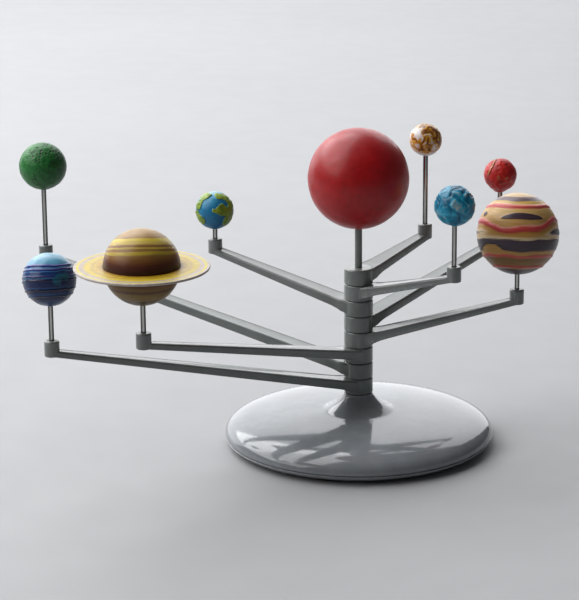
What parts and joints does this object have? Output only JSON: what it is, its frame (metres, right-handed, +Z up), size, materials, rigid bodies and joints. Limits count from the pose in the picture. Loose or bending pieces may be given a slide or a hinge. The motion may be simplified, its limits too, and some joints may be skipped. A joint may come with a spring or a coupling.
{
  "type": "desk orrery",
  "caption": "Tabletop orrery: round dished base, post with stacked hubs, sloping arms with upright rods carrying painted planets around a red sun.",
  "frame": {"origin": "centre of the base's flat underside, on the post's axis, at table level", "axes": "+Z up along the post, +X to the right and +Y away from a viewer who stands in front"},
  "size_m": [0.3035, 0.2302, 0.1788],
  "materials": {
    "base_plastic": "glossy moulded grey plastic",
    "arm_plastic": "satin moulded grey plastic",
    "steel": "drawn steel wire, lightly polished",
    "sun_paint": "satin red paint",
    "ring_paint": "cream with yellow bands",
    "mercury_paint": "white and golden-brown marbled paint",
    "venus_paint": "blue and white marbled paint",
    "earth_paint": "blue paint with raised green land",
    "mars_paint": "red paint with ochre streaks",
    "jupiter_paint": "sand, brown and red bands in relief",
    "saturn_paint": "tan, yellow and brown bands",
    "uranus_paint": "green paint on a pitted surface",
    "neptune_paint": "light blue, indigo and teal bands in relief"
  },
  "bodies": {
    "stand": {"base_dome": "base_plastic", "base_tray": "base_plastic", "centre_post": "arm_plastic", "sun_rod": "arm_plastic", "sun_ball": "sun_paint"},
    "mercury": {"mercury_arm": "arm_plastic", "mercury_rod": "steel", "mercury_ball": "mercury_paint"},
    "venus": {"venus_arm": "arm_plastic", "venus_rod": "steel", "venus_ball": "venus_paint"},
    "earth": {"earth_arm": "arm_plastic", "earth_rod": "steel", "earth_ball": "earth_paint"},
    "mars": {"mars_arm": "arm_plastic", "mars_rod": "steel", "mars_ball": "mars_paint"},
    "jupiter": {"jupiter_arm": "arm_plastic", "jupiter_rod": "steel", "jupiter_ball": "jupiter_paint"},
    "saturn": {"saturn_arm": "arm_plastic", "saturn_rod": "steel", "saturn_ball": "saturn_paint", "saturn_ring": "ring_paint"},
    "uranus": {"uranus_arm": "arm_plastic", "uranus_rod": "steel", "uranus_ball": "uranus_paint"},
    "neptune": {"neptune_arm": "arm_plastic", "neptune_rod": "steel", "neptune_ball": "neptune_paint"}
  },
  "joints": [
    {"name": "mercury_arm_turn", "type": "hinge", "parent": "stand", "child": "mercury", "pos_m": [0, 0, 0.0965], "axis": [0, 0, 1], "range_deg": [-50, 265]},
    {"name": "venus_arm_turn", "type": "hinge", "parent": "stand", "child": "venus", "pos_m": [0, 0, 0.0875], "axis": [0, 0, 1], "range_deg": [-265, 50]},
    {"name": "earth_arm_turn", "type": "hinge", "parent": "stand", "child": "earth", "pos_m": [0, 0, 0.0785], "axis": [0, 0, 1], "range_deg": [-130, 170]},
    {"name": "mars_arm_turn", "type": "hinge", "parent": "stand", "child": "mars", "pos_m": [0, 0, 0.0695], "axis": [0, 0, 1], "range_deg": [-25, 300]},
    {"name": "jupiter_arm_turn", "type": "hinge", "parent": "stand", "child": "jupiter", "pos_m": [0, 0, 0.0605], "axis": [0, 0, 1], "range_deg": [-170, 25]},
    {"name": "saturn_arm_turn", "type": "hinge", "parent": "stand", "child": "saturn", "pos_m": [0, 0, 0.0515], "axis": [0, 0, 1], "range_deg": [-3, 275]},
    {"name": "uranus_arm_turn", "type": "hinge", "parent": "stand", "child": "uranus", "pos_m": [0, 0, 0.0425], "axis": [0, 0, 1], "range_deg": [-275, 38]},
    {"name": "neptune_arm_turn", "type": "hinge", "parent": "stand", "child": "neptune", "pos_m": [0, 0, 0.0335], "axis": [0, 0, 1], "range_deg": [-40, 3]}
  ]
}
